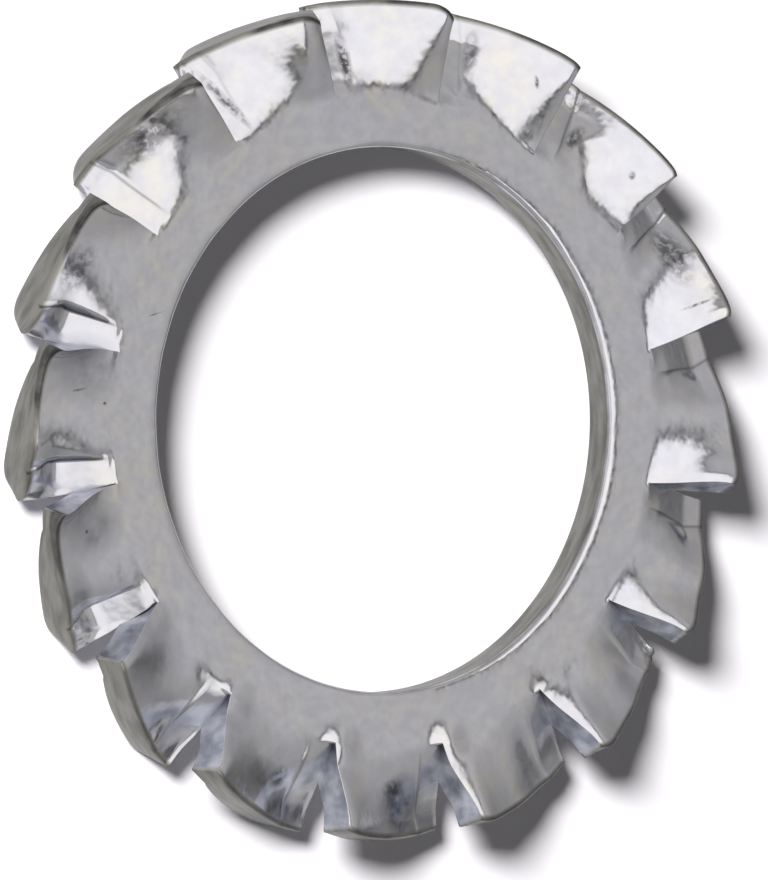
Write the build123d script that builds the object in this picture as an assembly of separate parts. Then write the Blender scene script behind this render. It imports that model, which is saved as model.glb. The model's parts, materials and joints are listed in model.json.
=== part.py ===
from build123d import *
from math import cos, degrees, pi, radians, sin, tan
import os

# A toothed lock washer with external serrations, for an M12 screw, stamped and formed from spring strip.
# Origin: the centre of the bore, half-way through the ring's thickness.  +Z is the washer's axis.
# Lengths are millimetres, angles are degrees.

# The blank
bore_diameter = 13.1
outside_diameter = 20.2
stock_thickness = 0.95
tooth_count = 16
slit_root_radius = 7.9       # where the radial slits end
slit_width = 0.06            # shear gap left between two teeth at the root

# The twist of each tooth about its own radial line
tooth_twist = 26.0           # at the rim
twist_length = 1.55          # from the slit's root to where the full twist is reached

# The ramp pressed into the top of each tooth's lower end, and into the underside of its upper end
ramp_fall = 0.48             # millimetres down for each millimetre outward
ramp_length = 1.60
land_fall = 0.28             # the flatter stretch between the ramp and the rim
ramp_root_width = 0.58
ramp_widest = 0.86
ramp_rim_width = 0.70

# Edges
wall_foot_setback = 0.20     # how far the foot of the raised wall stands back from the slit at the rim
edge_roll = 0.25             # width of the rolled-over strip along the raised end's top edge
edge_drop = 0.10             # how far its outer side lies below the sharp corner
bore_top_bevel = 0.12        # the rolled-in upper edge of the punched bore
bore_bottom_bevel = 0.08     # its broken lower edge

half_thickness = stock_thickness / 2
rim_radius = outside_diameter / 2
half_pitch = pi / tooth_count
tooth_length = rim_radius - slit_root_radius


def outward(radius):
    """Distance outside the circle of slit roots."""
    return radius - slit_root_radius


def twist_at(radius):
    """The tooth turns fast at its root and eases into the full twist."""
    share = min(outward(radius) / twist_length, 1)
    return radians(tooth_twist) * sin(pi / 2 * share)


def ramp_height(radius):
    """Height of the ramp, and of the flatter land outside it."""
    ramp = min(outward(radius), ramp_length)
    return half_thickness - ramp_fall * ramp - land_fall * (outward(radius) - ramp)


def ramp_width(radius):
    """The ramp widens to its outer end, and its land narrows again to the rim."""
    ramp = min(outward(radius), ramp_length)
    land = outward(radius) - ramp
    land_taper = (ramp_widest - ramp_rim_width) / (tooth_length - ramp_length)
    return ramp_root_width + (ramp_widest - ramp_root_width) * ramp / ramp_length - land_taper * land


def upper_outline(radius):
    """The top of a tooth's cross-section, as points (across, up) from its lowered edge to its raised edge."""
    twist = twist_at(radius)
    roll_share = min(0.1 + 2 * outward(radius) / tooth_length, 1)
    roll = edge_roll * roll_share
    slit_side = radius * sin(half_pitch) - slit_width / 2
    crease = ramp_width(radius) - slit_side
    raised = slit_side * cos(twist) - half_thickness * sin(twist)

    def twisted_top(across):
        return across * tan(twist) + half_thickness / cos(twist)

    return [
        (-slit_side, ramp_height(radius)),
        (crease, twisted_top(crease)),
        (raised - roll, twisted_top(raised - roll)),
        (raised, twisted_top(raised) - edge_drop * roll_share),
    ]


def tooth_section(radius):
    """Cross-section of a tooth: its underside is its top turned half round the tooth's radial line."""
    top = upper_outline(radius)
    underside = [(-across, -up) for across, up in top]
    foot_across, foot_up = underside[0]
    setback = wall_foot_setback * outward(radius) / tooth_length
    underside[0] = (foot_across - setback, foot_up)
    plane = Plane(origin=(radius * cos(half_pitch), 0, 0), x_dir=(0, -1, 0), z_dir=(-1, 0, 0))
    return plane * make_face(Polyline(*top, *underside, close=True))


def tooth():
    """The tooth on the +X axis, from the chord between its slit roots to the rim."""
    end_radius = 1.01 * rim_radius / cos(half_pitch)
    shares = [0, 0.12, 0.3, 0.5, 0.72, 1]
    radii = [slit_root_radius + share * (end_radius - slit_root_radius) for share in shares]
    blank = Cylinder(rim_radius, 6 * stock_thickness, rotation=(0, 0, 180))
    return loft([tooth_section(radius) for radius in radii]) & blank


def ring():
    """The flat ring inside the slits, with one straight side for each tooth, and its punched bore."""
    outline = RegularPolygon(slit_root_radius, tooth_count, rotation=degrees(half_pitch))
    body = extrude(outline, half_thickness, both=True) - Cylinder(bore_diameter / 2, 2 * stock_thickness)
    body = chamfer(body.edges().filter_by(GeomType.CIRCLE).sort_by(Axis.Z)[-1], bore_top_bevel)
    return chamfer(body.edges().filter_by(GeomType.CIRCLE).sort_by(Axis.Z)[0], bore_bottom_bevel)


def lock_washer():
    """The ring with its teeth, as one solid."""
    return ring() + PolarLocations(0, tooth_count) * tooth()


os.makedirs("parts", exist_ok=True)
washer = lock_washer()
washer.label = "lock_washer"
export_step(washer, "parts/lock_washer.step")
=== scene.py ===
from functools import partial
import json
import math

import bmesh
import bpy
from mathutils import Matrix, Vector


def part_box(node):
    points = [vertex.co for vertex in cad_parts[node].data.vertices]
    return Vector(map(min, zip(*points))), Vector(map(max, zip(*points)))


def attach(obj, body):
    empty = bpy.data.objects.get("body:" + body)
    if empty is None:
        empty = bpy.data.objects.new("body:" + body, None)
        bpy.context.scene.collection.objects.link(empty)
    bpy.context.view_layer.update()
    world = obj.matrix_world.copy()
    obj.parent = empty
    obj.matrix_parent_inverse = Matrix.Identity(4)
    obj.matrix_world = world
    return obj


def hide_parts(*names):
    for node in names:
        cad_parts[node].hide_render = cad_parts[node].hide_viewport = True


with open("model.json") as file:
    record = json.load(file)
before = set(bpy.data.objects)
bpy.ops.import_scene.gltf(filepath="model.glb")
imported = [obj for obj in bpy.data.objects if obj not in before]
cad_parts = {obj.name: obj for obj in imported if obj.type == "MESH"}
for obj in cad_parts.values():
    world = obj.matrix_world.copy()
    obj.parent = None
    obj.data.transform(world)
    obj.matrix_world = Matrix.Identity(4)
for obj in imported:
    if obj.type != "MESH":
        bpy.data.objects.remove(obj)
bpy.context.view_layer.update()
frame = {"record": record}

# ---------------- Sizes, in metres and radians; the outer sizes come from the frame ----------------
MM = 0.001
NODE = "lock_washer"
bore_radius = frame["record"]["mounts"][0]["dims"]["r_mm"] * MM
rim_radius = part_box(NODE)[1].x
half_thickness = 0.475 * MM
tooth_count = 16
half_pitch = math.pi / tooth_count
root_radius = 7.9 * MM         # where the slits end
tooth_length = rim_radius - root_radius

# Each tooth's twist about its own radial line
tooth_twist = math.radians(26)
twist_length = 2.20 * MM       # from the slit's root to the full twist
root_softness = 0.16 * MM      # the bend starts this far inside the root and eases in over twice this length
root_ease = 0.35 * MM          # inside the root, the width over which the top leaves a slit's shared height
slit_opening = 0.15 * MM       # a slit's sides part over this length outside its root
bow_length = 5.0 * MM          # a bowed tooth would be straight this far outside the root
late_power = 1.6               # a late tooth bends little near the root and more further out

# The ramp pressed into each lowered end: it falls outward to a nearly level land, with a crease inside it
ramp_fall = 0.53               # down for each unit outward
ramp_length = 1.60 * MM
land_fall = 0.05               # the land's own fall, for each unit outward
ramp_level = 0.15              # the ramp's own rise from the slit to its crease, for each unit
ridge_height = 0.12 * MM       # how much higher a full ridge lifts the crease
ramp_root_width = 0.58 * MM
ramp_widest = 0.86 * MM
ramp_rim_width = 0.70 * MM
pull_past_crease = 0.70 * MM   # at the root, how far past the crease the press pulls the top down with it
pull_past_middle = 0.20 * MM   # the same at the rim, past the tooth's middle
step_width = 0.075 * MM        # how soon a stepped tooth is flat again beside its crease
step_fade_start = 1.10 * MM    # outside the root, where a stepped ramp begins to fade
step_fade_length = 0.90 * MM
crease_half_width = 0.06 * MM
dull_border = 0.25 * MM        # the press has dulled the top this far past the crease

# Edges and wear
roll_width = 0.26 * MM         # the rolled-over strip along a raised edge
roll_turn = 0.74               # the change of slope from the twisted top to the edge
wide_roll_width = 0.80 * MM
lens_root_width = 0.95 * MM    # a roll that is wide at the root and narrow at the rim
lens_rim_width = 0.30 * MM
swell_height = 0.11 * MM       # the metal pushed up round a slit's root, on its raised side
swell_radius = 0.62 * MM
swell_offset = 0.22 * MM       # from the slit's line to the swell's middle
swell_outward = 0.04 * MM      # from the root to the swell's middle
foot_setback = 0.20 * MM       # how far the raised wall's foot stands back from the slit at the rim
corner_size = 0.60 * MM        # how far a worn corner reaches along the rim
corner_depth = 0.70 * MM       # how far it reaches in from the rim
corner_pull = 0.25 * MM        # how far a full corner is worn back
corner_drop = 0.3 * corner_pull
lip_width = 0.11 * MM          # the burr turned up along a lowered edge
lip_height = 0.07 * MM
lip_start = 0.80 * MM          # outside the root, where the burr begins
lip_growth = 0.50 * MM         # the length over which it grows to its full height
level_growth = 0.30 * MM       # outside the root, how far these take to begin
ridge_growth = 0.60 * MM
crease_growth = 0.50 * MM
crumple_height = 0.16 * MM     # the dents of a battered lowered corner
crumple_size = 0.60 * MM
dent_size = 0.14 * MM
dent_contrast = 4.0            # a dent can be twice as deep as the crumple's height
burr_limit = 0.3               # and a burr stands up by no more than this share of it
bore_roll = 0.14 * MM          # radius of the bore's rounded upper edge
bore_bevel = 0.09 * MM         # radius of its lower edge
bore_ease = 0.13 * MM          # a slight fall of the top before the bore's rounded edge
bore_ease_fall = 0.007 * MM
bore_wear = 0.03               # how unevenly the edge is rounded, as a share of its radius
bore_wear_size = 1.4 * MM
rim_roll = 0.08 * MM
rim_bevel = 0.06 * MM
waviness = 0.004 * MM          # the surface is uneven by this much
wave_size = 1.6 * MM
weld_distance = 0.001 * MM

# Rows of points round the section, and what the bore's upper edge takes row by row
bevel_steps = 4
wall_steps = 5
roll_steps = 5
bore_top_row = bevel_steps + wall_steps
bore_line_shares = (0.5, 0.9, 0.4)               # the painted dark reflection along the bore's edge, from the wall's top row up
bore_edge_shares = (0.1, 0.3, 0.5, 0.8, 1, 0.5)  # the uneven rounding, from the row after it
rows_inside_root = (0.2 * MM, 0.14 * MM, 0.09 * MM, 0.045 * MM)

# Small differences between slits, counter-clockwise from the one before tooth 0: how far the slit is turned
# from its even place, in degrees, and how much further out its root lies, in mm
slit_angle_errors = [0, 1.2, 0.3, -0.1, 0, -0.35, -0.57, 0.1, -0.55, -0.1, -0.25, -0.77, 0.2, 0.3, 0.74, 0]
slit_root_errors = [-0.06, 0.03, 0.35, -0.13, -0.12, 0, -0.03, 0.04, -0.04, 0, 0, 0.07, 0, 0.05, 0, -0.06]

# How much each slit's root is swollen, from the slit before tooth 0
slit_swells = [0, -0.1] + [0] * 7 + [0.1, 0.3, 0.7, 1, 1, 0.35, 0]

# How much of each forming move a tooth takes, counter-clockwise from the one on +X
tooth_factors = {
    "form": [1] * tooth_count,
    "depth": [0, 0, 0, 0, 0, 0.05, 0, 0.05, 0.22, 0.2, 0.05, -0.05, -0.07, -0.2, -0.15, 0],
    "stepped": [0, 0, 0, 0, 0, 0, 0, 0.9, 1, 0.8, 0, 0, 0, 0, 0, 0],
    "plain": [0, 0, 0, 0.2, 0.3, 0.8, 0.1, 0, 0, 0, 0.6, 0.5, 0.6, 0.6, 0.6, 0.2],
    "level": [0, 0, 0, 0, 0, 0, 0, 0.3, 0.6, 1, 0.3, 0, 0, 0, 0, 0],
    "ridge": [0.3, 0.4, 0.5, 0.2, 0, 0, 0.3, 0.8, 0.6, -0.3, 0.3, 0.2, 0.2, 0.2, 0.3, 0.2],
    "crumple": [0, 0.1, 0.8, 1, 0.8, 0.6, 0.2, 0, 0, 0, 0.1, 0.1, 0, 0.1, 0.6, 0],
    "bow": [0.7, 0.3, -0.2, -0.3, -0.4, -0.4, 0.2, 0, 0, 0, 0, 0.2, 0.3, 0.3, 0.6, 1],
    "late": [0, 0.3, 0.2, -0.6, -0.6, 0, 0.3, 0, 0, 0, 0, 0, 0, 0, 0, 0],
    "round_root": [0, 0, 0.6, 1.3, 1, 0, 0, 0, 0, 0, 0, 0, 0.1, 0.2, 0, 0],
    "wide": [0, 0, 0, 0.1, 0, 1, 0.5, 0.2, 0.2, 0.2, 0.2, 0.2, 0.1, 0, 0, 0],
    "lens": [0.4, 0, 0, 0.6, 1, 0, 0, 0.3, 0.3, 0.3, 0.5, 0.5, 0.5, 1.2, 1.2, 1],
    "corner": [0.5, 0.3, 0.15, 0.15, 1, 1, 0.7, 0.5, 0.5, 0.4, 0.3, 0.3, 0.3, 0.5, 0.8, 0.8],
    "lip": [0, 0, 0, 0, 0, 0.3, 0.2, 0.2, 0.5, 1, 1, 0.4, 0.3, 0.3, 0.2, 0],
}
move_order = ("swell_before", "swell_after", *tooth_factors)

# How dark each tooth is: painted shade in its crease, and the darker upper part of its rim by the raised end
tooth_darks = {
    "crease_shade": [0.5, 0.6, 0.4, 0.1, 0, 0.2, 0.5, 0.9, 0.9, 0.5, 0.3, 0.4, 0.4, 0.2, 0.2, 0.5],
    "wedge_dark": [0.3, 0.3, 0.6, 0.8, 0.8, 0.9, 0.9, 0.9, 0.9, 0.7, 0.1, 0.1, 0.3, 0.3, 0.3, 0.3],
}

# Dark smudges and nicks on top, in mm: x, y, half length, half width, turn in degrees, strength
grime_marks = [
    (8.42, 4.03, 0.95, 0.50, 115, 0.75),    # the battered lowered end of a tooth on the right
    (4.16, 8.14, 0.07, 0.20, 10, 1.0),      # nicks and scratches
    (6.99, 5.91, 0.10, 0.14, 0, 1.0),
    (8.87, 2.80, 0.48, 0.05, 20, 0.9),
    (-8.65, -2.68, 0.06, 0.06, 0, 0.9),
    (-8.09, 0.38, 0.06, 0.06, 0, 0.9),
    (-8.83, 0.71, 0.25, 0.04, 10, 0.6),
    (-6.64, 2.52, 0.30, 0.03, 15, 0.6),
    (-8.85, 3.60, 0.80, 0.45, 60, 0.6),     # the darker outer half of a tooth on the left
    (-6.73, 6.82, 1.10, 0.55, 42, 0.6),     # the rough lowered end of a tooth on the left
    (-3.00, -8.60, 0.40, 0.30, 40, 0.8),    # dark blotches on the near teeth
    (0.20, -8.90, 0.40, 0.30, 20, 0.7),
    (6.20, -7.90, 0.35, 0.22, 40, 0.5),
    (-4.46, 7.70, 1.10, 0.16, -50, 0.8),    # torn metal along the lowered edges of the teeth at the back
    (-1.02, 8.65, 0.85, 0.19, 90, 0.9),
    (2.72, 8.80, 0.75, 0.20, 72, 0.6),
    (6.00, 7.65, 0.35, 0.25, 50, 0.8),
    (5.66, 6.80, 0.50, 0.20, 40, 0.8),
]

# Painted shade: blue-grey patches that darken the top of the near and left teeth, given as the smudges are
painted_shade_marks = [
    (0.55, -9.20, 1.00, 0.75, 10, 1.0),
    (-2.90, -9.30, 1.10, 0.70, -25, 0.9),
    (-3.60, -8.50, 0.70, 0.50, -20, 0.7),
    (-5.90, -7.40, 1.20, 0.65, -50, 0.6),
    (4.40, -8.60, 0.90, 0.60, 30, 0.5),
    (-9.40, -1.20, 0.50, 1.00, 10, 0.5),
    (-8.65, -4.40, 0.45, 1.10, 20, 0.6),
    (-9.30, 2.60, 0.45, 0.90, -20, 0.5),
    (-8.60, 1.20, 1.05, 1.00, 0, 0.55),
    (-8.40, -2.60, 0.95, 0.80, 15, 0.55),
]
mark_height = 0.4 * MM         # marks lie round this height, on the top, and fade below it
mark_half_height = 1.2 * MM
mark_core = 0.35               # the share of a mark's size that has its full strength

# The finish's patterns: the size of their patches, their finer layers, and the range that is drawn
zinc_patterns = {
    "warmth": (1.60 * MM, 3, 0.35, 0.65),          # warm and cool blotches
    "cloudy": (0.45 * MM, 3, 0.35, 0.65),           # lighter and darker grey
    "speckled": (0.17 * MM, 4, 0.42, 0.60),         # specks of grime
    "satin": (0.22 * MM, 3, 0.3, 0.7, 0.12, 0.2),   # the roughness of the plating
}
zinc_relief = ((0.60 * MM, 0.004 * MM), (0.26 * MM, 0.005 * MM))  # ripples and dimples: size and height
zinc_attributes = ("slit_wall", "cut_face", "crease", "pressed", "through", "from_root", "toward_raised",
                   "wedge_dark", "crease_shade", "bore_dark_reflection")

# Its colours, each a blend by a share; an end is a colour or an earlier blend
zinc_colours = (
    ("hue", "warmth", "#E1E2E8", "#E6E4DC"),
    ("plating", "cloudy", "#DADADE", "hue"),
    ("wall metal", "cloudy", "#A4AAB8", "#E0E4EC"),
    # painted shade: the slits' walls darken toward their roots
    ("wall", "near_root", "wall metal", "#565664"),
    ("cut metal", "streaked", "#807E77", "#A09E96"),
    ("torn metal", "cloudy", "#3A3A3A", "#72716B"),
    ("cut", "torn", "cut metal", "torn metal"),
    ("walled", "slit_wall", "plating", "wall"),
    ("surface", "cut_face", "walled", "cut"),
    # painted shade: blue-grey patches on the near and left teeth
    ("rubbed", "tarnish", "surface", "#68707A"),
    # grime, with painted shade in the creases and a painted dark reflection along the bore's edge
    ("grimy", "grime", "rubbed", "#3C3A42"),
)
streak_size = 0.9 * MM         # how far apart the streaks of a cut face are
streaks_through = 4.0          # how much they change from its foot to its top

# The camera looks down through a long lens.  Its picture's sizes are in pixels.
camera_tilt = math.radians(34.04)
picture_width, picture_height = 768, 880
middle_x, middle_y = 374.9, 419.68    # where the washer's middle is in the picture
pixels_per_mm = 41.593
lens_mm = 1000

# The softbox that casts the shadows
softbox_toward = (-1.08, 0.50, 1.0)
softbox_distance = 1.5
softbox_size = 0.40
softbox_watts = 38
floor_half_size = 2.0
shade_start, shade_end = 8 * MM, 20 * MM    # between these the mirrored floor darkens to the right

# The studio that the metal mirrors.  The panel is placed by slopes: sideways over up.
panel_middle = (-0.20, 0.19)
panel_half_size = (0.62, 0.77)
panel_light = 1.15
frame_light = 0.03
fill_light = 0.05              # what the matt floor gets from all round
wall_tones = (                 # the direction's part that it goes by, from where to where, the two tones
    ("X", 0.58, 1.0, 0.6, 0.28),
    ("Y", -0.6, -0.1, 0.62, 1.0),
    ("Y", 0.2, 0.7, 1.0, 0.8),
)


def mix(a, b, share):
    return a + (b - a) * share


def clamp(value):
    return max(0.0, min(1.0, value))


def smooth(value):
    share = clamp(value)
    return share * share * (3 - 2 * share)


# ---------------- One tooth's sector: a flat blank, and the moves that form it ----------------
# A place on the blank is (across, radius, height): across runs from the lowered slit, negative,
# to the raised slit, positive, and the tooth points along +X.
def slit_side(radius):
    """How far the sector's two slits lie from its middle."""
    return radius * math.sin(half_pitch)


def past_root(radius, length):
    """None up to the slit's root, rising smoothly to 1 at a length outside it."""
    return smooth((radius - root_radius) / length)


def up_share(height):
    """0 on the underside, 1 on top."""
    return (height + half_thickness) / (2 * half_thickness)


def soft_outward(radius):
    """Distance outside the slit's root, easing in from a little inside it."""
    outward = radius - root_radius
    if outward < -root_softness:
        return 0.0
    if outward < root_softness:
        return (outward + root_softness) ** 2 / (4 * root_softness)
    return outward


def twist_share(radius, late=0):
    """How much of its full twist a tooth has at a radius; a late one has less near the root."""
    reached = clamp(soft_outward(radius) / twist_length)
    at_root = soft_outward(root_radius) / twist_length
    if late and reached > at_root:
        reached = mix(at_root, 1, ((reached - at_root) / (1 - at_root)) ** late_power)
    return math.sin(math.pi / 2 * reached)


def twist_at(across, radius, bow, late, step):
    """The twist.  Near the root a bowed tooth bends less at its middle than at its raised end, and a stepped
    one less than at both ends; further out they are straighter."""
    turn = tooth_twist * twist_share(radius, late)
    stepped_straight = 0.5 * clamp((radius - root_radius) / tooth_length)
    straight = mix(past_root(radius, bow_length), stepped_straight, step)
    from_middle = across / slit_side(radius)
    bent = abs(from_middle) ** (1 + 4 * step)
    raised_half = mix(smooth(0.5 + from_middle / 0.6), 1, step)
    return turn * mix(1, mix(bent, 1, straight), bow * raised_half)


def twisted(across, radius, bow, late, step):
    """Where the flat top goes when its tooth is twisted: (across, height)."""
    turn = twist_at(across, radius, bow, late, step)
    return (across * math.cos(turn) - half_thickness * math.sin(turn),
            across * math.sin(turn) + half_thickness * math.cos(turn))


def ramp_drop(radius):
    """How far the ramp's outer edge lies below the flat top."""
    outward = max(radius - root_radius, 0)
    ramp = min(outward, ramp_length)
    return ramp_fall * ramp + land_fall * (outward - ramp)


def ramp_width(radius):
    """From the slit to the crease: the ramp widens outward, and the land narrows to the rim."""
    outward = max(radius - root_radius, 0)
    if outward < ramp_length:
        return mix(ramp_root_width, ramp_widest, outward / ramp_length)
    return mix(ramp_widest, ramp_rim_width, (outward - ramp_length) / (tooth_length - ramp_length))


def pressed_share(across, radius, step=0):
    """1 on the ramp, fading to none toward the tooth's middle, which the press pulls down with it."""
    crease = ramp_width(radius) - slit_side(radius)
    reach = mix(pull_past_crease, pull_past_middle - crease, past_root(radius, tooth_length))
    return clamp(1 - (across - crease) / mix(reach, step_width, step)) ** 2


def ramp_lift(across, radius, bow, late, step):
    """The press on a lowered end, as a rise from the twisted top; mostly negative."""
    if radius <= root_radius or across >= 0:
        return 0.0
    side = slit_side(radius)
    width = ramp_width(radius)
    before_rim = 1 - step * past_root(radius - step_fade_start, step_fade_length)
    edge_height = half_thickness - ramp_drop(radius)
    crease_height = edge_height + ramp_level * width
    crease_lift = crease_height - twisted(width - side, radius, bow, late, step)[1]
    if across > width - side:
        return min(crease_lift, 0) * pressed_share(across, radius, step) * before_rim
    inward = (across + side) / width
    level = mix(edge_height, crease_height, inward)
    lift = level - twisted(across, radius, bow, late, step)[1] - max(crease_lift, 0) * smooth(inward)
    return lift * before_rim


def rolled(across, radius, width=roll_width):
    """How far a roll of that width takes the top down: its slope changes evenly up to the edge."""
    near = max(1 - (slit_side(radius) - across) / width, 0)
    return roll_turn / 2 * width * near ** 2 * twist_share(radius)


def root_lift(radius):
    """The height that both sides of a slit share up to its root."""
    side = slit_side(radius)
    return twisted(side, radius, 0, 0, 0)[1] - half_thickness - rolled(side, radius)


def top_move(across, radius, bow=0, late=0, step=0, ramp=1):
    """How the flat top moves when its tooth is formed: (across, up)."""
    new_across, new_height = twisted(across, radius, bow, late, step)
    if radius <= root_radius:
        from_lowered = (across + slit_side(radius)) / root_ease
        own = new_height - half_thickness - rolled(across, radius)
        return 0.0, mix(root_lift(radius), own * smooth(from_lowered), smooth(2 * from_lowered))
    near_slit = smooth((abs(across) / slit_side(radius) - 0.8) / 0.2)
    pressed = ramp * ramp_lift(across, radius, bow, late, step)
    up = new_height - half_thickness + pressed - rolled(across, radius)
    return (new_across - across) * mix(1, past_root(radius, slit_opening), near_slit), up


# Moves of the top, as (outward, across, up), from a place's across and radius
def form_move(across, radius):
    """An even twist with its ramp and a narrow roll, which the other moves change."""
    return 0.0, *top_move(across, radius)


def other_form(across, radius, **change):
    """From the even form to one that is formed otherwise."""
    side, up = top_move(across, radius)
    new_side, new_up = top_move(across, radius, **change)
    return 0.0, new_side - side, new_up - up


def round_root_move(across, radius):
    """To a tooth whose raised side starts its twist further out than its middle."""
    share = smooth((across / slit_side(radius) - 0.1) / 0.8)
    return [part * share for part in other_form(across, radius, late=1)]


def depth_move(across, radius):
    """To a ramp pressed once more as deep."""
    return 0.0, 0.0, -ramp_drop(radius) * pressed_share(across, radius, 0.5)


def level_move(across, radius):
    """To a ramp that is level across instead of rising to its crease."""
    from_crease = max(ramp_width(radius) - across - slit_side(radius), 0)
    return 0.0, 0.0, ramp_level * from_crease * past_root(radius, level_growth)


def ridge_move(across, radius):
    """To a ramp that rises more from the slit to its crease."""
    rise = clamp((across + slit_side(radius)) / ramp_width(radius))
    share = min(rise, pressed_share(across, radius, 1))
    return 0.0, 0.0, ridge_height * share * past_root(radius, ridge_growth)


def other_roll(across, radius, width):
    """From the narrow roll to one of another width."""
    up = rolled(across, radius) - rolled(across, radius, width)
    return 0.0, 0.0, up * past_root(radius, slit_opening)


def lens_move(across, radius):
    """To a roll that narrows outward."""
    outward = clamp((radius - root_radius) / tooth_length)
    return other_roll(across, radius, mix(lens_root_width, lens_rim_width, outward))


def corner_move(across, radius):
    """To a raised outer corner worn round."""
    along_rim = max(1 - (slit_side(radius) - across) / corner_size, 0)
    near_rim = smooth(1 - (rim_radius - radius) / corner_depth)
    return -corner_pull * along_rim ** 2 * near_rim, 0.0, -corner_drop * along_rim ** 2 * near_rim


def lip_move(across, radius):
    """To a burr turned up along the outer part of a lowered edge."""
    near = clamp(1 - (across + slit_side(radius)) / lip_width)
    return 0.0, 0.0, lip_height * near * past_root(radius - lip_start, lip_growth)


def both_faces(move, across, radius, height):
    """A move of the top, the same turned half round on the underside, and a mix of the two between."""
    out, side, up = move(-across, radius)
    return Vector([mix(*ends, up_share(height)) for ends in zip((out, -side, -up), move(across, radius))])


def top_face(move, across, radius, height):
    """A move of the top, fading to none at the underside."""
    return Vector([part * up_share(height) for part in move(across, radius)])


# Moves of any place, from its across, radius and height
def whole_form_move(across, radius, height):
    """The form of both faces, with the foot of the raised wall standing back from the slit."""
    outward = max(radius - root_radius, 0) / tooth_length
    foot_share = clamp(1 - (slit_side(radius) - across) / ramp_widest)
    down_share = (half_thickness - height) / (2 * half_thickness)
    foot = Vector((0, -foot_setback * outward * down_share * foot_share, 0))
    return both_faces(form_move, across, radius, height) + foot


def swell(from_slit, radius):
    """Height of the swell at a distance from the slit's line, counted toward its raised side."""
    away = math.hypot(from_slit - swell_offset, radius - root_radius - swell_outward)
    return swell_height * smooth(1 - away / swell_radius)


def swell_before(across, radius, height):
    """The swell at a tooth's own raised edge."""
    return Vector((0, 0, swell(slit_side(radius) - across, radius)))


def swell_after(across, radius, height):
    """The part of the next tooth's swell that reaches past the slit's line, inside the slit's root."""
    inside = 1.0 if radius <= root_radius else 0.0
    return Vector((0, 0, inside * swell(-across - slit_side(radius), radius)))


def crumple_move(across, radius, height):
    """Where the neighbour's punch has battered a lowered outer corner; a fine noise scales it."""
    near_slit = smooth(1.4 - (across + slit_side(radius)) / crumple_size)
    near_rim = smooth(1.5 - (rim_radius - radius) / crumple_size)
    return Vector((0, 0, crumple_height * near_slit * near_rim * (height > 0)))


whole_moves = {
    "form": whole_form_move,
    "swell_before": swell_before,
    "swell_after": swell_after,
    "crumple": crumple_move,
}
both_face_moves = {
    "bow": partial(other_form, bow=1),
    "late": partial(other_form, late=1),
    "round_root": round_root_move,
    "wide": partial(other_roll, width=wide_roll_width),
    "lens": lens_move,
    "corner": corner_move,
    "lip": lip_move,
}
top_face_moves = {
    "depth": depth_move,
    "stepped": partial(other_form, bow=1.2, late=1, step=1),  # nearly flat up to a step beside the ramp
    "plain": partial(other_form, ramp=0),                     # twisted only
    "level": level_move,
    "ridge": ridge_move,
}


# What the finish and the slits' roots need to know of a place on the blank
def on_top(height):
    return height > 0.9 * half_thickness


def crease_share(across, radius, height):
    """1 along the crease at the ramp's inner side, on top."""
    away = abs(across + slit_side(radius) - ramp_width(radius))
    return on_top(height) * clamp(1 - away / crease_half_width) * past_root(radius, crease_growth)


def pressed_top(across, radius, height):
    """1 where the press has dulled the top, on the ramp and a little past its crease."""
    past_crease = across + slit_side(radius) - ramp_width(radius)
    return on_top(height) * clamp(1 - past_crease / dull_border) * (radius > root_radius)


def root_share(across, radius, height):
    """What a place takes of a change in the root's radius: all at the root, none far from it."""
    inner = clamp((radius - bore_radius - bore_roll) / (root_radius - bore_radius - bore_roll))
    outer = clamp((rim_radius - rim_roll - radius) / (tooth_length - rim_roll))
    return inner * outer * smooth(abs(across) / slit_side(radius))


def quarter_turn(steps, first=1):
    """The sines and cosines of even steps of a quarter turn."""
    turns = [math.pi / 2 * k / steps for k in range(first, first + steps)]
    return [(math.sin(turn), math.cos(turn)) for turn in turns]


def section_loop():
    """The washer's section as (radius, height) points, from the bore's foot up, over the top and back below,
    and its rows at the slit's root, at the rim's top and at its foot."""
    bore_top = half_thickness - bore_ease_fall - bore_roll
    bore_foot = bore_bevel - half_thickness
    outer_top = rim_radius - rim_roll
    face_top = half_thickness - rim_roll
    face_foot = rim_bevel - half_thickness
    loop = [(bore_radius + bore_bevel * (1 - sine), bore_foot - bore_bevel * cosine)
            for sine, cosine in quarter_turn(bevel_steps, first=0)]
    loop += [(bore_radius, mix(bore_foot, bore_top, k / wall_steps)) for k in range(wall_steps + 1)]
    loop += [(bore_radius + bore_roll * (1 - cosine), bore_top + bore_roll * sine)
             for sine, cosine in quarter_turn(roll_steps)]
    ring_start = bore_radius + bore_roll + bore_ease
    ring_end = root_radius - rows_inside_root[0]
    stations = [mix(ring_start, ring_end, k / 5) for k in range(5)]
    stations += [root_radius - inside for inside in rows_inside_root]
    root = len(loop) + len(stations)
    stations += [mix(root_radius, outer_top, (k / 28) ** 1.3) for k in range(29)]
    loop += [(radius, half_thickness) for radius in stations]
    rim_start = len(loop) - 1
    loop += [(outer_top + rim_roll * sine, half_thickness - rim_roll * (1 - cosine))
             for sine, cosine in quarter_turn(3)]
    loop += [(rim_radius, mix(face_top, face_foot, k / 6)) for k in range(1, 7)]
    loop += [(rim_radius - rim_bevel * (1 - cosine), face_foot - rim_bevel * sine)
             for sine, cosine in quarter_turn(3)]
    rim_end = len(loop) - 1
    loop += [(radius, -half_thickness) for radius in reversed(stations[:-1])]
    return loop, root, rim_start, rim_end


def column_across(column, radius):
    """A column follows a slit, the roll's line or the crease, at a share of the way to the next of them."""
    stretch, share, sign = column
    side = slit_side(radius)
    width = ramp_width(radius)
    strip = 0.45 * width
    if stretch == "strip":
        return sign * (side - strip * share)
    if stretch == "ramp":
        return sign * (side - mix(strip, width, share))
    return mix(width - side, side - width, share)


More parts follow.
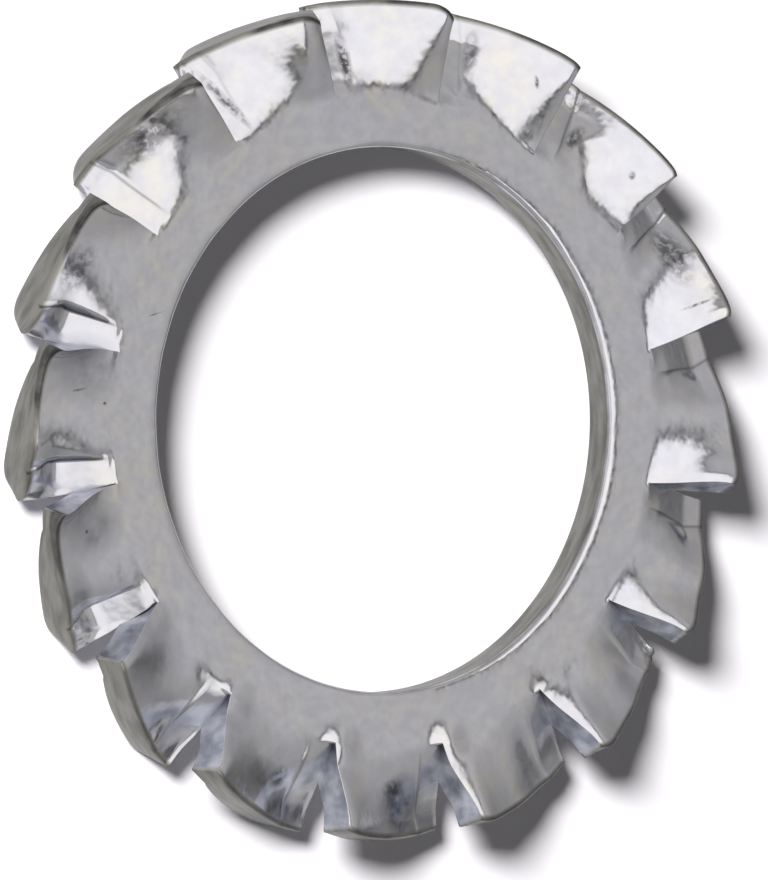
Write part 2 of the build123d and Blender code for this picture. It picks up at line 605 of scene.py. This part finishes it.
def sector_columns():
    """The columns from the lowered slit to the raised one, closest together beside the slits."""
    strip = [0, 0.05, 0.15, 0.3, 0.5, 0.7, 0.85, 1]
    ramp = [0.3, 0.6, 0.85, 1]
    lowered = [("strip", share, -1) for share in strip] + [("ramp", share, -1) for share in ramp]
    middle = [("middle", share, 1) for share in [0.03, 0.07] + [k / 14 for k in range(2, 13)] + [0.93, 0.97]]
    raised = [(stretch, share, 1) for stretch, share, sign in reversed(lowered)]
    return lowered + middle + raised


def slit_wall(points, section, start, sign):
    """A slit's wall as point numbers by (step outward, row down).  The points on its border are in the
    column that begins at start; those within it are added."""
    loop, root, rim_start, rim_end = section
    steps = rim_start - root
    wall = {}
    for a in range(steps + 1):
        radius = loop[root + a][0]
        for b in range(rim_end - rim_start + 1):
            if a == steps:
                wall[a, b] = start + rim_start + b
            elif b == 0:
                wall[a, b] = start + root + a
            elif rim_start + b == rim_end:
                wall[a, b] = start + rim_end + steps - a
            else:
                wall[a, b] = len(points)
                points.append((sign * slit_side(radius), radius, loop[rim_start + b][1]))
    return wall


def flat_sector(section):
    """The blank's points and faces, and each point's row of the section; none within a slit's wall."""
    loop, root, rim_start, rim_end = section
    columns = sector_columns()
    count = len(loop)
    points = [(column_across(column, radius), radius, height)
              for column in columns for radius, height in loop]
    rows = list(range(count)) * len(columns)
    last = len(points) - count
    faces = []
    for start in range(0, last, count):
        for j in range(count):
            k = (j + 1) % count
            faces.append((start + j, start + k, start + count + k, start + count + j))
    for start, sign in ((0, -1), (last, 1)):
        wall = slit_wall(points, section, start, sign)
        for a in range(rim_start - root):
            for b in range(rim_end - rim_start):
                corners = (wall[a, b], wall[a, b + 1], wall[a + 1, b + 1], wall[a + 1, b])
                faces.append(corners if sign > 0 else corners[::-1])
    rows += [None] * (len(points) - len(rows))
    return points, faces, rows


def tooth_sector():
    """The flat sector as a mesh, with its forming moves and what its finish needs as attributes.  It is open
    where it meets its neighbours."""
    section = section_loop()
    points, faces, rows = flat_sector(section)
    mesh = bpy.data.meshes.new("tooth sector")
    mesh.from_pydata([(math.sqrt(r ** 2 - a ** 2), -a, h) for a, r, h in points], [], faces)
    for name, move in whole_moves.items():
        add_move(mesh, name, [move(*point) for point in points])
    for name, move in both_face_moves.items():
        add_move(mesh, name, [both_faces(move, *point) for point in points])
    for name, move in top_face_moves.items():
        add_move(mesh, name, [top_face(move, *point) for point in points])

    add_share(mesh, "crease", [crease_share(*point) for point in points])
    add_share(mesh, "pressed", [pressed_top(*point) for point in points])
    add_share(mesh, "root_share", [root_share(*point) for point in points])
    add_share(mesh, "through", [up_share(h) for a, r, h in points])
    add_share(mesh, "from_root", [(r - root_radius) / tooth_length for a, r, h in points])
    add_share(mesh, "toward_raised", [0.5 + 0.5 * a / slit_side(r) for a, r, h in points])
    add_share(mesh, "slit_wall", [row is None for row in rows])
    rim_start, rim_end = section[2:]
    cut_rows = [*range(bevel_steps - 1, bore_top_row + 1), *range(rim_start, rim_end)]
    add_share(mesh, "cut_face", [row in cut_rows for row in rows])
    # the bore edge's painted dark reflection, and its uneven rounding
    for name, first, shares in (("bore_dark_reflection", bore_top_row, bore_line_shares),
                                ("bore_edge", bore_top_row + 1, bore_edge_shares)):
        row_shares = dict(enumerate(shares, first))
        add_share(mesh, name, [row_shares.get(row, 0) for row in rows])
    return mesh


def add_move(mesh, name, moves):
    """Stores (outward, across, up) moves of the forming as a vector of the sector's own axes."""
    attribute = mesh.attributes.new(name + "_move", "FLOAT_VECTOR", "POINT")
    attribute.data.foreach_set("vector", [part for move in moves for part in (move.x, -move.y, move.z)])


def add_share(mesh, name, values):
    """Stores a number for each point."""
    attribute = mesh.attributes.new(name, "FLOAT", "POINT")
    attribute.data.foreach_set("value", [float(value) for value in values])


# ---------------- Nodes ----------------
def add_node(tree, kind, inputs=(), **settings):
    """Adds a node with its settings and gives back its outputs.  inputs are values, or outputs to link, in
    the sockets' order or by name.  add is this function's short form for one tree."""
    node = tree.nodes.new(kind)
    for name, value in settings.items():
        setattr(node, name, value)
    for key, value in inputs.items() if isinstance(inputs, dict) else enumerate(inputs):
        socket = node.inputs[key]
        if isinstance(value, bpy.types.NodeSocket):
            tree.links.new(value, socket)
        else:
            socket.default_value = value
    return node.outputs


def formed_teeth(add, flat, stored):
    """Where each place goes when its tooth's forming moves, scaled by the tooth's shares, are added up."""
    dents = add("ShaderNodeTexNoise", {"Scale": 1 / dent_size, "Detail": 2.0})[0]
    pits = add("ShaderNodeMath", (dents, dent_contrast, -dent_contrast / 2), operation="MULTIPLY_ADD")[0]
    battered = add("ShaderNodeMath", (pits, burr_limit), operation="MINIMUM")[0]
    formed = flat
    for name in move_order:
        factor = stored[name]
        move = add("GeometryNodeInputNamedAttribute", {"Name": name + "_move"}, data_type="FLOAT_VECTOR")[0]
        if name == "crumple":
            factor = add("ShaderNodeMath", (factor, battered), operation="MULTIPLY")[0]
        scaled = add("ShaderNodeVectorMath", {0: move, "Scale": factor}, operation="SCALE")[0]
        formed = add("ShaderNodeVectorMath", (formed, scaled), operation="ADD")[0]
    return formed


def fitted_to_slits(add, formed, stored):
    """Draws each root to its slit's own radius, and turns each side of a sector to its slit's own angle."""
    root_error, turn = [
        add("ShaderNodeMix", {"Factor": stored["toward_raised"], "A": stored["lowered_" + part],
                              "B": stored["raised_" + part]})[0]
        for part in ("root", "slit")]
    shift = add("ShaderNodeMath", (root_error, stored["root_share"]), operation="MULTIPLY")[0]
    stretch = add("ShaderNodeMath", (shift, 1 / root_radius, 1.0), operation="MULTIPLY_ADD")[0]
    scale = add("ShaderNodeCombineXYZ", {"X": stretch, "Y": stretch, "Z": 1.0})[0]
    stretched = add("ShaderNodeVectorMath", (formed, scale), operation="MULTIPLY")[0]
    return add("ShaderNodeVectorRotate", {"Vector": stretched, "Angle": turn}, rotation_type="Z_AXIS")[0]


def surface_unevenness(add, given, place, bore_edge):
    """A slight waviness, up and down, and a bore edge that is rounded a little unevenly."""
    noise = add("ShaderNodeTexNoise", {"Scale": given["Waviness Scale"], "Detail": 2.0})[0]
    centred = add("ShaderNodeMath", (noise, 0.5), operation="SUBTRACT")[0]
    height = add("ShaderNodeMath", (centred, given["Surface Waviness"]), operation="MULTIPLY")[0]
    lift = add("ShaderNodeCombineXYZ", {"Z": height})[0]
    wear_noise = add("ShaderNodeTexNoise", {"Scale": 1 / bore_wear_size, "Detail": 2.0})[0]
    wear = add("ShaderNodeMath", (wear_noise, bore_wear, -bore_wear / 2), operation="MULTIPLY_ADD")[0]
    wear_here = add("ShaderNodeMath", (wear, bore_edge), operation="MULTIPLY")[0]
    spread = add("ShaderNodeCombineXYZ", {"X": wear_here, "Y": wear_here})[0]
    return add("ShaderNodeVectorMath", (place, spread, lift), operation="MULTIPLY_ADD")[0]


def teeth_tree():
    """Copies the sector round the ring, forms each copy by its tooth's own shares, and welds them."""
    tree = bpy.data.node_groups.new("washer_from_tooth_sectors", "GeometryNodeTree")
    for name, kind in (("Teeth", "Geometry"), ("Tooth Sector", "Object"), ("Surface Waviness", "Float"),
                       ("Waviness Scale", "Float"), ("Weld Distance", "Float"), ("Finish", "Material")):
        tree.interface.new_socket(name, in_out="INPUT", socket_type="NodeSocket" + kind)
    tree.interface.new_socket("Washer", in_out="OUTPUT", socket_type="NodeSocketGeometry")
    add = partial(add_node, tree)
    given = add("NodeGroupInput")
    stored = {}
    for name in (*move_order, "toward_raised", "root_share", "lowered_root", "raised_root", "lowered_slit",
                 "raised_slit", "bore_edge"):
        stored[name] = add("GeometryNodeInputNamedAttribute", {"Name": name}, data_type="FLOAT")[0]

    sector = add("GeometryNodeObjectInfo", {"Object": given["Tooth Sector"]})["Geometry"]
    copies = add("GeometryNodeInstanceOnPoints", {"Points": given["Teeth"], "Instance": sector})[0]
    real = add("GeometryNodeRealizeInstances", {"Geometry": copies})[0]
    place = add("GeometryNodeInputPosition")[0]
    fitted = fitted_to_slits(add, formed_teeth(add, place, stored), stored)
    shaped = add("GeometryNodeSetPosition", {"Geometry": real, "Position": fitted})[0]
    welded = add("GeometryNodeMergeByDistance", {"Geometry": shaped, "Distance": given["Weld Distance"]})
    offset = surface_unevenness(add, given, place, stored["bore_edge"])
    waved = add("GeometryNodeSetPosition", {"Geometry": welded[0], "Offset": offset})[0]
    shaded = add("GeometryNodeSetShadeSmooth", {"Geometry": waved})[0]
    finished = add("GeometryNodeSetMaterial", {"Geometry": shaded, "Material": given["Finish"]})[0]
    again = add("GeometryNodeRealizeInstances", {"Geometry": finished})[0]
    add("NodeGroupOutput", {"Washer": again})
    return tree


def teeth_points():
    """A point for each tooth, all at the origin, with its shares of the moves and its two slits' errors."""
    teeth = bpy.data.meshes.new("lock_washer_teeth")
    teeth.from_pydata([(0, 0, 0)] * tooth_count, [], [])
    pitch = 2 * half_pitch
    errors = [math.radians(error) for error in slit_angle_errors]
    roots = [error * MM for error in slit_root_errors]
    shares = {
        "raised_slit": [k * pitch + errors[k] for k in range(tooth_count)],
        "lowered_slit": [k * pitch + errors[(k + 1) % tooth_count] for k in range(tooth_count)],
        "raised_root": roots,
        "lowered_root": roots[1:] + roots[:1],
        "swell_before": slit_swells,
        "swell_after": slit_swells[1:] + slit_swells[:1],
        **tooth_factors,
        **tooth_darks,
    }
    for name, values in shares.items():
        add_share(teeth, name, values)
    return teeth


def washer(finish):
    """The whole washer as one closed mesh."""
    piece = in_scene("washer", teeth_points())
    tree = teeth_tree()
    modifier = piece.modifiers.new("teeth", "NODES")
    modifier.node_group = tree
    values = {
        "Tooth Sector": bpy.data.objects.new("tooth sector", tooth_sector()),
        "Surface Waviness": waviness,
        "Waviness Scale": 1 / wave_size,
        "Weld Distance": weld_distance,
        "Finish": finish,
    }
    for socket in tree.interface.items_tree:
        if socket.name in values:
            modifier[socket.identifier] = values[socket.name]
    bpy.context.view_layer.update()
    shape = piece.evaluated_get(bpy.context.evaluated_depsgraph_get())
    mesh = bpy.data.meshes.new_from_object(shape)
    piece.modifiers.remove(modifier)
    piece.data = mesh
    point_outwards(mesh)
    return piece


def in_scene(name, data):
    """A new object at the scene's origin."""
    thing = bpy.data.objects.new(name, data)
    bpy.context.scene.collection.objects.link(thing)
    return thing


def point_outwards(mesh):
    """Turns every face of the closed mesh outward."""
    work = bmesh.new()
    work.from_mesh(mesh)
    bmesh.ops.recalc_face_normals(work, faces=work.faces)
    work.to_mesh(mesh)
    work.free()


# ---------------- Finish ----------------
def colour(code):
    """An sRGB hex colour as linear RGBA."""
    parts = [int(code[k:k + 2], 16) / 255 for k in (1, 3, 5)]
    return [p / 12.92 if p <= 0.04045 else ((p + 0.055) / 1.055) ** 2.4 for p in parts] + [1.0]


def new_material(name):
    material = bpy.data.materials.new(name)
    material.use_nodes = True
    material.node_tree.nodes.clear()
    return material, partial(add_node, material.node_tree)


def marked_share(add, place_on, marks):
    """How much of the nearest mark is on a place: each mark is an ellipse that fades at its border."""
    share = 0.0
    for x, y, long_half, short_half, turn, strength in marks:
        near = add("ShaderNodeMapping", {
            "Vector": place_on, "Location": (x * MM, y * MM, mark_height),
            "Rotation": (0, 0, math.radians(turn)),
            "Scale": (long_half * MM, short_half * MM, mark_half_height)}, vector_type="TEXTURE")[0]
        away = add("ShaderNodeVectorMath", (near,), operation="LENGTH")["Value"]
        here = add("ShaderNodeMapRange", (away, 1.0, mark_core, 0.0, strength))[0]
        share = add("ShaderNodeMath", (here, share), operation="MAXIMUM")[0]
    return share


def wedge_share(add, share):
    """How far the darker upper part of a rim, which deepens toward the raised end, is on a place."""
    lower_edge = add("ShaderNodeMapRange", (share["toward_raised"], 0.45, 0.95, 1.05, 0.35))[0]
    above_edge = add("ShaderNodeMath", (share["through"], lower_edge), operation="SUBTRACT")[0]
    inside = add("ShaderNodeMapRange", (above_edge, 0.0, 0.12))[0]
    at_rim = add("ShaderNodeMath", (share["from_root"], 0.5), operation="GREATER_THAN")[0]
    dark = add("ShaderNodeMath", (share["wedge_dark"], at_rim), operation="MULTIPLY")[0]
    return add("ShaderNodeMath", (inside, dark), operation="MULTIPLY")[0]


def streaked_share(add, place_on, share):
    """Streaks along a cut face: they change slowly along it and faster from its foot to its top."""
    layer = add("ShaderNodeCombineXYZ", {"Z": share["through"]})[0]
    layered = add("ShaderNodeVectorMath", (place_on, (1 / streak_size, 1 / streak_size, 0)),
                  operation="MULTIPLY")[0]
    along_cut = add("ShaderNodeVectorMath", (layer, (streaks_through,) * 3, layered),
                    operation="MULTIPLY_ADD")[0]
    streaks = add("ShaderNodeTexNoise", {"Vector": along_cut, "Scale": 1.0, "Detail": 4.0})[0]
    return add("ShaderNodeMapRange", (streaks, 0.34, 0.60))[0]


def grime_and_shade_share(add, place_on, share):
    """Speckled smudges, painted shade in the creases, and a painted dark reflection along the bore's edge.
    """
    spotted = add("ShaderNodeMath", (share["speckled"], 0.35), operation="ADD", use_clamp=True)[0]
    worn = marked_share(add, place_on, grime_marks)
    grime = add("ShaderNodeMath", (worn, spotted), operation="MULTIPLY")[0]
    # painted shade along the creases, and a painted dark reflection along the bore's upper edge
    for line, strength in (("crease", "crease_shade"), ("bore_dark_reflection", "warmth")):
        dark = add("ShaderNodeMath", (share[line], share[strength]), operation="MULTIPLY")[0]
        grime = add("ShaderNodeMath", (grime, dark), operation="MAXIMUM")[0]
    return grime


def stamped_zinc():
    """Zinc-plated spring steel, stamped.  The plating is satin grey with faint warm and cool blotches, dull
    where it has been pressed, and smudged in places; painted shade darkens patches of the near and left
    teeth.  The slits' walls are bluish, with painted shade near their roots; the cut faces are brownish and
    streaked, and darker in a wedge toward a raised end."""
    material, add = new_material("zinc-plated spring steel, stamped")
    place_on = add("ShaderNodeTexCoord")["Object"]
    share = {name: add("ShaderNodeAttribute", attribute_name=name)["Fac"] for name in zinc_attributes}
    for name, (size, detail, *ends) in zinc_patterns.items():
        noise = add("ShaderNodeTexNoise", {"Vector": place_on, "Scale": 1 / size, "Detail": detail})[0]
        share[name] = add("ShaderNodeMapRange", (noise, *ends))[0]
    share["streaked"] = streaked_share(add, place_on, share)
    share["torn"] = wedge_share(add, share)
    # painted shade on the slits' walls, deepening toward their roots
    share["near_root"] = add("ShaderNodeMapRange", (share["from_root"], 0.28, 0.06))[0]
    # smudges and grime, with painted shade in the creases and a painted dark reflection at the bore's edge
    share["grime"] = grime_and_shade_share(add, place_on, share)
    # patches of painted shade on the near and left teeth
    painted_shade_patches = marked_share(add, place_on, painted_shade_marks)
    uneven = add("ShaderNodeMath", (share["cloudy"], 0.6, 0.4), operation="MULTIPLY_ADD")[0]
    share["tarnish"] = add("ShaderNodeMath", (painted_shade_patches, uneven), operation="MULTIPLY")[0]

    metals = {}
    for name, blend, *ends in zinc_colours:
        first, second = [metals.get(end) or colour(end) for end in ends]
        metals[name] = add("ShaderNodeMix", {"Factor": share[blend], "A": first, "B": second},
                           data_type="RGBA")["Result"]

    sheared = add("ShaderNodeMath", (share["slit_wall"], share["cut_face"]), operation="MAXIMUM")[0]
    duller = add("ShaderNodeMix", {"Factor": share["pressed"], "A": share["satin"], "B": 0.21})[0]
    rough = add("ShaderNodeMix", {"Factor": sheared, "A": duller, "B": 0.34})[0]
    relief = {}
    for size, height in zinc_relief:
        bumps = add("ShaderNodeTexNoise", {"Vector": place_on, "Scale": 1 / size, "Detail": 1.0})[0]
        relief["Normal"] = add("ShaderNodeBump", {
            "Height": bumps, "Distance": height, "Strength": 1.0, **relief})[0]
    shader = add("ShaderNodeBsdfPrincipled", {
        "Base Color": metals["grimy"], "Metallic": 1.0, "Roughness": rough, **relief})[0]
    add("ShaderNodeOutputMaterial", {"Surface": shader})
    return material


def floor_paper():
    """Matt white paper board: it takes soft shadows, and the camera sees it burnt out to white.  What the
    metal mirrors of it darkens to the right."""
    material, add = new_material("white paper board")
    place_on = add("ShaderNodeTexCoord")["Object"]
    x = add("ShaderNodeSeparateXYZ", (place_on,))["X"]
    to_right = add("ShaderNodeMapRange", (x, shade_start, shade_end))[0]
    mirrored = add("ShaderNodeMix", {"Factor": to_right, "A": colour("#D2D2D6"), "B": colour("#4C4C54")},
                   data_type="RGBA")["Result"]
    rays = add("ShaderNodeLightPath")
    tone = add("ShaderNodeMix", {"Factor": rays["Is Glossy Ray"], "A": colour("#F6F3F7"), "B": mirrored},
               data_type="RGBA")["Result"]
    paper = add("ShaderNodeBsdfDiffuse", {"Color": tone})[0]
    white = add("ShaderNodeEmission", {"Color": colour("#F4F2F8"), "Strength": 0.05})[0]
    both = add("ShaderNodeAddShader", (paper, white))[0]
    seen = add("ShaderNodeMixShader", (rays["Is Camera Ray"], paper, both))[0]
    add("ShaderNodeOutputMaterial", {"Surface": seen})
    return material


# ---------------- Studio ----------------
def floor(height):
    mesh = bpy.data.meshes.new("floor")
    size = floor_half_size
    corners = [(-size, -size, height), (size, -size, height), (size, size, height), (-size, size, height)]
    mesh.from_pydata(corners, [], [(0, 1, 2, 3)])
    mesh.materials.append(floor_paper())
    board = in_scene("floor", mesh)


def key_light():
    """A softbox high on the left, which casts the shadows.  The metal sees the dome's panel instead."""
    toward = Vector(softbox_toward).normalized()
    data = bpy.data.lights.new("softbox", "AREA")
    data.shape = "DISK"
    data.size = softbox_size
    data.energy = softbox_watts
    lamp = in_scene("softbox", data)
    lamp.location = toward * softbox_distance
    lamp.rotation_euler = toward.to_track_quat("Z", "Y").to_euler()
    lamp.visible_glossy = False


def panel_border(add, way):
    """How far a direction is outside the white panel's border, as a slope; less than none inside it."""
    up = add("ShaderNodeMath", (way["Z"], 0.05), operation="MAXIMUM")[0]
    outside = -1.0
    for sideways, middle, half_size in zip("XY", panel_middle, panel_half_size):
        slope = add("ShaderNodeMath", (way[sideways], up), operation="DIVIDE")[0]
        from_middle = add("ShaderNodeMath", (slope, middle), operation="SUBTRACT")[0]
        away = add("ShaderNodeMath", (from_middle,), operation="ABSOLUTE")[0]
        beyond = add("ShaderNodeMath", (away, half_size), operation="SUBTRACT")[0]
        outside = add("ShaderNodeMath", (beyond, outside), operation="MAXIMUM")[0]
    return outside


def room_walls(add, direction, way):
    """Grey walls, darker to the right, near and far, lighter on the left, with a dark flag on the right."""
    room = 1.0
    for along, *ends in wall_tones:
        tone = add("ShaderNodeMapRange", (way[along], *ends))[0]
        room = add("ShaderNodeMath", (tone, room), operation="MULTIPLY")[0]
    off_flag = add("ShaderNodeMath", (way["Y"], 0.1), operation="ADD")[0]
    flag_away = add("ShaderNodeMath", (off_flag,), operation="ABSOLUTE")[0]
    in_width = add("ShaderNodeMapRange", (flag_away, 0.25, 0.03))[0]
    in_height = add("ShaderNodeMapRange", (way["X"], 0.88, 0.95))[0]
    on_flag = add("ShaderNodeMath", (in_width, in_height), operation="MULTIPLY")[0]
    flag = add("ShaderNodeMapRange", (on_flag, 0.0, 1.0, 1.0, 0.5))[0]
    flagged = add("ShaderNodeMath", (room, flag), operation="MULTIPLY")[0]
    left = add("ShaderNodeMapRange", (way["X"], 0.0, -0.9, 0.0, 0.3))[0]
    walls = add("ShaderNodeMath", (flagged, left), operation="ADD")[0]
    patches = add("ShaderNodeTexNoise", {"Vector": direction, "Scale": 2.2, "Detail": 1.0})[0]
    uneven = add("ShaderNodeMapRange", (patches, 0.3, 0.7, 0.88, 1.12))[0]
    return add("ShaderNodeMath", (walls, uneven), operation="MULTIPLY")[0]


def studio_dome():
    """A wide white panel overhead in a black frame, grey walls, and a low even fill."""
    world = bpy.data.worlds.new("studio")
    bpy.context.scene.world = world
    world.use_nodes = True
    world.node_tree.nodes.clear()
    add = partial(add_node, world.node_tree)
    direction = add("ShaderNodeTexCoord")["Generated"]
    way = add("ShaderNodeSeparateXYZ", (direction,))
    outside = panel_border(add, way)
    past_frame = add("ShaderNodeMapRange", (outside, 0.09, 0.18))[0]
    walls = room_walls(add, direction, way)
    framed = add("ShaderNodeMix", {"Factor": past_frame, "A": frame_light, "B": walls})[0]
    past_panel = add("ShaderNodeMapRange", (outside, 0.0, 0.03))[0]
    seen = add("ShaderNodeMix", {"Factor": past_panel, "A": panel_light, "B": framed})[0]

    # The camera and mirrored rays see the studio; the matt floor gets the even fill
    rays = add("ShaderNodeLightPath")
    sharp = add("ShaderNodeMath", (rays["Is Glossy Ray"], rays["Is Camera Ray"]), operation="ADD")[0]
    shown = add("ShaderNodeMath", (sharp, rays["Is Transmission Ray"]), operation="MAXIMUM")[0]
    strength = add("ShaderNodeMix", {"Factor": shown, "A": fill_light, "B": seen})[0]
    background = add("ShaderNodeBackground", {"Color": colour("#FFFDFF"), "Strength": strength})[0]
    add("ShaderNodeOutputWorld", {"Surface": background})


def camera():
    """A long lens, tilted and rolled so that the washer's +Y is up in the picture."""
    right = Vector((math.cos(camera_tilt), 0, math.sin(camera_tilt)))
    up = Vector((0, 1, 0))
    back = right.cross(up)
    data = bpy.data.cameras.new("camera")
    data.lens = lens_mm
    data.clip_start, data.clip_end = 0.01, 10
    distance = data.lens / data.sensor_width * (picture_height / pixels_per_mm * MM)
    middle = right * ((picture_width / 2 - middle_x) / pixels_per_mm * MM)
    middle += up * ((middle_y - picture_height / 2) / pixels_per_mm * MM)
    view = in_scene("camera", data)
    view.matrix_world = Matrix((right, up, back)).transposed().to_4x4()
    view.location = middle + back * distance
    bpy.context.scene.camera = view


bpy.context.scene.view_settings.view_transform = "Standard"
camera()
piece = washer(stamped_zinc())
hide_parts(NODE)
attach(piece, "root")
floor(min(v.co.z for v in piece.data.vertices))
key_light()
studio_dome()
